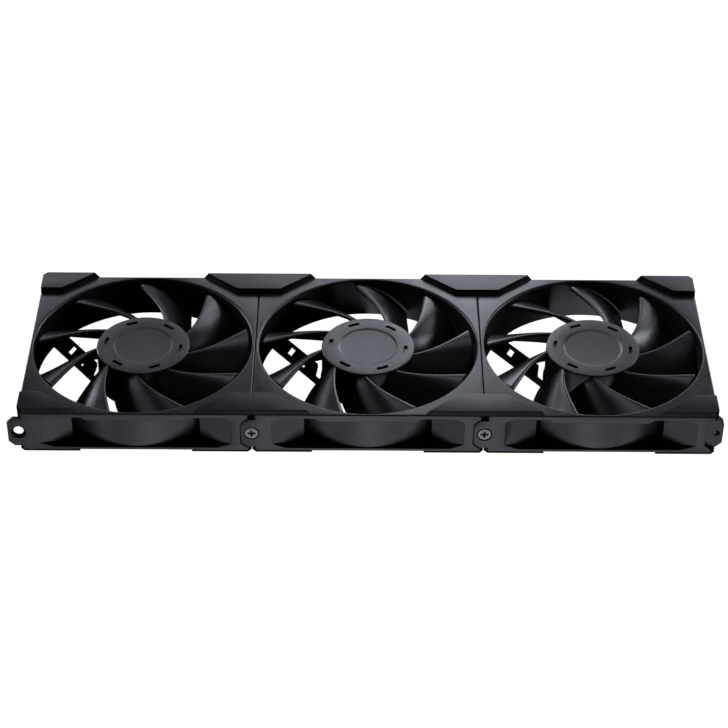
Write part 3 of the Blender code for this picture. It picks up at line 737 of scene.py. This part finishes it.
def layered(name, light, dark, pitch, roughness, depth):
    """Thin even layers of metal stacked along Z, such as laminations or windings."""
    material, tree, shader, place = start_material(name, 1.0)
    soft = rounded_normal(tree, 0.1 * MM)
    scale = 0.314 / pitch           # the node's bands repeat every 0.314 / scale metres
    wave = add(tree, "TexWave", {"Vector": place, "Scale": scale, "Distortion": 0.4, "Detail": 1.0,
                                 "Detail Scale": 0.3 / pitch}, bands_direction="Z").outputs["Fac"]
    cloud = noise(tree, place, 2 * MM, 4)
    ridges = colours(tree, spread(tree, wave, 0.1, 0.8, 0.0, 1.0), dark, light)
    stain = spread(tree, cloud, 0.4, 0.8, 0.0, 0.5)
    feed(tree, colours(tree, stain, ridges, dark), shader.inputs["Base Color"])
    gloss = spread(tree, cloud, 0.3, 0.7, roughness * 0.8, roughness * 1.2)
    feed(tree, gloss, shader.inputs["Roughness"])
    feed(tree, bumped(tree, wave, depth, soft), shader.inputs["Normal"])
    return material


def solder_mask(name):
    """Green board with copper runs under the mask."""
    material, tree, shader, place = start_material(name, 0.0)
    soft = rounded_normal(tree, 0.1 * MM)
    runs = add(tree, "TexBrick", {"Vector": place, "Scale": 1.0, "Mortar Size": 0.12 * MM,
                                  "Brick Width": 2.6 * MM, "Row Height": 0.9 * MM}).outputs["Fac"]
    cloud = noise(tree, place, 1.5 * MM, 4)
    dark, light, over_copper = (0.02, 0.10, 0.05), (0.04, 0.17, 0.08), (0.09, 0.26, 0.11)
    mask = colours(tree, spread(tree, cloud, 0.3, 0.7, 0.0, 1.0), dark, light)
    feed(tree, colours(tree, times(tree, runs, 0.7), mask, over_copper), shader.inputs["Base Color"])
    feed(tree, spread(tree, cloud, 0.3, 0.7, 0.35, 0.55), shader.inputs["Roughness"])
    feed(tree, bumped(tree, runs, 0.03 * MM, soft), shader.inputs["Normal"])
    return material


MATERIALS = {
    "frame_plastic": moulded("frame_plastic", (0.0085, 0.009, 0.0105), (0.035, 0.036, 0.040), 0.33,
                             0.45 * MM, 0.012 * MM),
    # the level hub top above the given height is coarser and gets a painted sheen
    "blade_plastic": moulded("blade_plastic", (0.0075, 0.0078, 0.009), (0.028, 0.029, 0.032), 0.29,
                             0.45 * MM, 0.005 * MM, sparkle=0.12, matt_with_painted_sheen_above=HUB_TOP - 0.7 * MM),
    # the pads' sides keep 0.35 of the gloss: painted shade on the pad walls
    "pad_rubber": moulded("pad_rubber", (0.007, 0.007, 0.008), (0.020, 0.020, 0.022), 0.35,
                          0.45 * MM, 0.014 * MM, wear=0.4, specular=0.4, painted_shade_side_gloss=0.35),
    "cap_plastic": moulded("cap_plastic", (0.02, 0.02, 0.022), (0.06, 0.06, 0.065), 0.5,
                           0.3 * MM, 0.008 * MM),
    "zinc_steel": metal("zinc_steel", (0.19, 0.185, 0.18), (0.13, 0.127, 0.124), 0.34),
    "yoke_steel": metal("yoke_steel", (0.34, 0.34, 0.35), (0.22, 0.22, 0.22), 0.42,
                        streak=(1, 1, 0.1)),
    "ferrite": metal("ferrite", (0.07, 0.07, 0.075), (0.035, 0.035, 0.04), 0.62, grain=0.12 * MM,
                     depth=0.01 * MM, metallic=0.0),
    "core_steel": layered("core_steel", (0.32, 0.33, 0.35), (0.12, 0.12, 0.13), 0.5 * MM, 0.45,
                          0.05 * MM),
    "winding_copper": layered("winding_copper", (0.66, 0.27, 0.11), (0.24, 0.07, 0.03), 0.32 * MM,
                              0.35, 0.10 * MM),
    "board_green": solder_mask("board_green"),
    "bearing_bronze": metal("bearing_bronze", (0.50, 0.33, 0.16), (0.30, 0.19, 0.09), 0.45,
                            grain=0.15 * MM, depth=0.008 * MM),
}


# ---- pieces ----------------------------------------------------------------------------------
def show(name, mesh, slot, body, node):
    """A finished piece that stands for a CAD node and rides on its body."""
    mesh.materials.clear()
    mesh.materials.append(MATERIALS[slot])
    piece = new_object(name, mesh)
    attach(piece, body)
    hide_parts(node)


def shifted(mesh, x, turn=0.0, z=0.0):
    return moved(mesh, Matrix.Translation((x, 0, z)) @ Matrix.Rotation(turn, 4, "Z"))


def build_fans():
    frame_mesh, impeller_mesh, cap_mesh = frame_detail(), impeller_detail(), finished(fine_cap())
    for side, x, turn in zip(SIDES, fan_x, REST_TURN):
        show(f"fan_frame_{side}", shifted(frame_mesh, x), "frame_plastic", BANK, f"frame_{side}")
        show(f"fan_impeller_{side}", shifted(impeller_mesh, x, turn),
             "blade_plastic", f"rotor_{side}", f"impeller_{side}")
        show(f"motor_cap_{side}", shifted(cap_mesh, x), "cap_plastic", BANK, f"underside_cap_{side}")


def build_pads():
    chamfer = 2.2 * MM
    levels_and_radii = FRAME_TOP + SKIN, PAD_TOP, 0.25 * MM, 0.5 * MM
    base, top = (BASE_INNER, BASE_OUTER, BASE_DEPTH), (TOP_INNER, TOP_OUTER, TOP_DEPTH)
    corner = sloped_block(corner_outline(*base, chamfer), corner_outline(*top, chamfer),
                          *levels_and_radii)
    bridge = sloped_block(bridge_outline(*base), bridge_outline(*top), *levels_and_radii)
    foot = outlet_pad()
    for y, row in ((-1, "front"), (1, "rear")):
        for x, end, middle in ((-1, "left", fan_x[0]), (1, "right", fan_x[-1])):
            show(f"inlet_cushion_{row}_{end}", shifted(flipped(corner, x, y), middle),
                 "pad_rubber", BANK, f"inlet_pad_{row}_{end}")
        for seam, (first, second) in enumerate(zip(fan_x, fan_x[1:]), 1):
            show(f"inlet_bridge_{row}_{seam}", shifted(flipped(bridge, 1, y), (first + second) / 2),
                 "pad_rubber", BANK, f"inlet_bridge_pad_{row}_{seam}")
        for side, middle in zip(SIDES, fan_x):
            for x, end in ((-1, "l"), (1, "r")):
                show(f"outlet_foot_{row}_{side}_{end}", shifted(flipped(foot, x, y), middle),
                     "pad_rubber", BANK, f"outlet_pad_{row}_{side}_{end}")


def build_screws():
    mesh = screw_detail()
    for seam, (first, second) in enumerate(zip(fan_x, fan_x[1:]), 1):
        show(f"cross_screw_{seam}", shifted(mesh, (first + second) / 2, 0, SCREW_Z),
             "zinc_steel", BANK, f"link_screw_{seam}")


def repaint_motor():
    """Better materials on the motor pieces that keep their CAD shape."""
    slots = {"rotor_yoke": "yoke_steel", "magnet_ring": "ferrite", "shaft": "zinc_steel",
             "bearing_sleeve": "bearing_bronze", "retaining_washer": "zinc_steel",
             "stator_core": "core_steel", "stator_winding": "winding_copper",
             "circuit_board": "board_green"}
    for side in SIDES:
        for node, slot in slots.items():
            for holder in CAD_NODES[f"{node}_{side}"].material_slots:
                holder.material = MATERIALS[slot]


build_fans()
build_pads()
build_screws()
repaint_motor()


# ---- floor, camera and light -----------------------------------------------------------------
def seen_only_by_camera(obj):
    for ray in ("diffuse", "glossy", "transmission", "volume_scatter", "shadow"):
        setattr(obj, f"visible_{ray}", False)


def white_stage():
    """A white floor and dome that only the camera sees; they neither light anything nor shade it."""
    material = bpy.data.materials.new("pale_stage")
    material.use_nodes = True
    tree = material.node_tree
    tree.nodes.clear()
    glow = add(tree, "Emission", {"Color": (1, 1, 1, 1), "Strength": 1.05})
    tree.links.new(glow.outputs[0], add(tree, "OutputMaterial").inputs[0])
    reach = 6.0
    bm = bmesh.new()
    bmesh.ops.create_circle(bm, cap_ends=True, segments=96, radius=reach)
    floor = new_object("floor", mesh_from(bm, "floor"))
    floor.location.z = FLOOR_Z - SKIN
    bm = bmesh.new()
    bmesh.ops.create_uvsphere(bm, u_segments=48, v_segments=24, radius=reach)
    dome = new_object("dome", mesh_from(bm, "dome"))
    for piece in (floor, dome):
        piece.data.materials.append(material)
        seen_only_by_camera(piece)


def ground_shade():
    """A black sheet that keeps the low front lights from shining up through the left half."""
    material = bpy.data.materials.new("ground_shade")
    material.use_nodes = True
    shader = material.node_tree.nodes["Principled BSDF"]
    shader.inputs["Base Color"].default_value = (0, 0, 0, 1)
    shader.inputs["Specular IOR Level"].default_value = 0.0
    (left, front, _), (_, rear, _) = cad_bounds
    middle, front, rear = 0.0, front + 2 * MM, rear + 0.1
    outline = [(left, front), (middle, front), (middle, rear), (left, rear)]
    shade = new_object("ground_shade", plate(outline, FLOOR_Z - 2 * MM, FLOOR_Z - 1 * MM))
    shade.data.materials.append(material)
    shade.visible_camera = False


def place_camera():
    """The camera's place, its turn from straight ahead, its dip and its tilt."""
    place = Vector((-5.419, -894.97, 712.99)) * MM
    yaw, pitch, roll = radians(0.2127), radians(38.0955), radians(0.4575)
    ahead = Vector((sin(yaw) * cos(pitch), cos(yaw) * cos(pitch), -sin(pitch)))
    level = Vector((cos(yaw), -sin(yaw), 0))
    over = level.cross(ahead)
    right = level * cos(roll) + over * sin(roll)
    up = over * cos(roll) - level * sin(roll)
    data = bpy.data.cameras.new("camera")
    data.sensor_width, data.lens = 36.0, 104.64
    camera = new_object("camera", data)
    camera.matrix_world = Matrix.Translation(place) @ Matrix((right, up, -ahead)).transposed().to_4x4()
    bpy.context.scene.camera = camera


def card(name, centre, width, height, brightness, aim=(0, 0, 0.012)):
    """A rectangular softbox facing aim, with the given radiance, unseen by the camera."""
    data = bpy.data.lights.new(name, "AREA")
    data.shape, data.size, data.size_y = "RECTANGLE", width, height
    data.energy = brightness * pi * width * height
    data.color = (0.88, 0.91, 1.04)
    lamp = new_object(name, data)
    lamp.location = centre
    lamp.rotation_euler = (Vector(aim) - Vector(centre)).to_track_quat("-Z", "Y").to_euler()
    lamp.visible_camera = False


def set_lights():
    """Softboxes low in front, above, beside and behind, and a faint even light from all round."""
    card("front_low", (0.03, -0.92, -0.66), 0.44, 1.0, 1.75)
    card("front_low_right", (0.35, -0.80, -0.67), 0.12, 0.8, 1.6)
    card("front_low_left", (-0.34, -0.81, -0.67), 0.12, 0.8, 1.4)
    card("front_far_right", (0.64, -0.70, -0.66), 0.30, 0.8, 1.5)
    card("front_far_left", (-0.64, -0.70, -0.66), 0.30, 0.8, 1.1)
    card("above", (0, 0.34, 0.90), 1.0, 0.16, 2.4)
    card("above_front", (0.45, -0.40, 0.80), 0.6, 0.5, 0.10)
    card("right_near", (0.33, 0.08, 0.115), 0.07, 0.09, 8.0, aim=(0.15, 0.04, 0.015))
    card("left_near", (-0.36, 0.16, 0.06), 0.06, 0.08, 10.0, aim=(-0.13, -0.045, 0.015))
    card("rear_right_low", (0.20, 0.27, 0.065), 0.16, 0.06, 2.0, aim=(-0.05, 0.04, 0.015))
    card("rear_low", (0, 1.1, 0.05), 1.6, 0.25, 1.0)
    strips = (-0.19, 2.5), (-0.06, 3.0), (0.07, 5.4), (0.20, 2.1)
    for number, (x, brightness) in enumerate(strips, 1):
        card(f"strip_{number}", (x, 0.155, 0.10), 0.10, 0.04, brightness, aim=(0.8 * x, 0, 0.02))
    card("rear_near", (0.035, 0.17, 0.155), 0.12, 0.05, 3.6)
    card("rear_top", (0.03, 0.32, 0.33), 0.10, 0.10, 0.4)
    card("rear_right", (0.55, 0.55, 0.20), 0.30, 0.25, 3.0)
    card("left_strip", (-0.68, 0.48, 0.17), 0.15, 0.34, 7.0)
    card("left_side", (-1.1, 0.1, 0.40), 0.8, 0.8, 0.4)
    card("right_side", (1.1, 0.1, 0.40), 0.8, 0.8, 0.25)
    world = bpy.data.worlds.new("room")
    world.use_nodes = True
    background = world.node_tree.nodes["Background"]
    background.inputs["Color"].default_value = (1, 1, 1, 1)
    background.inputs["Strength"].default_value = 0.02
    bpy.context.scene.world = world
    bpy.context.scene.view_settings.view_transform = "Standard"


white_stage()
ground_shade()
place_camera()
set_lights()
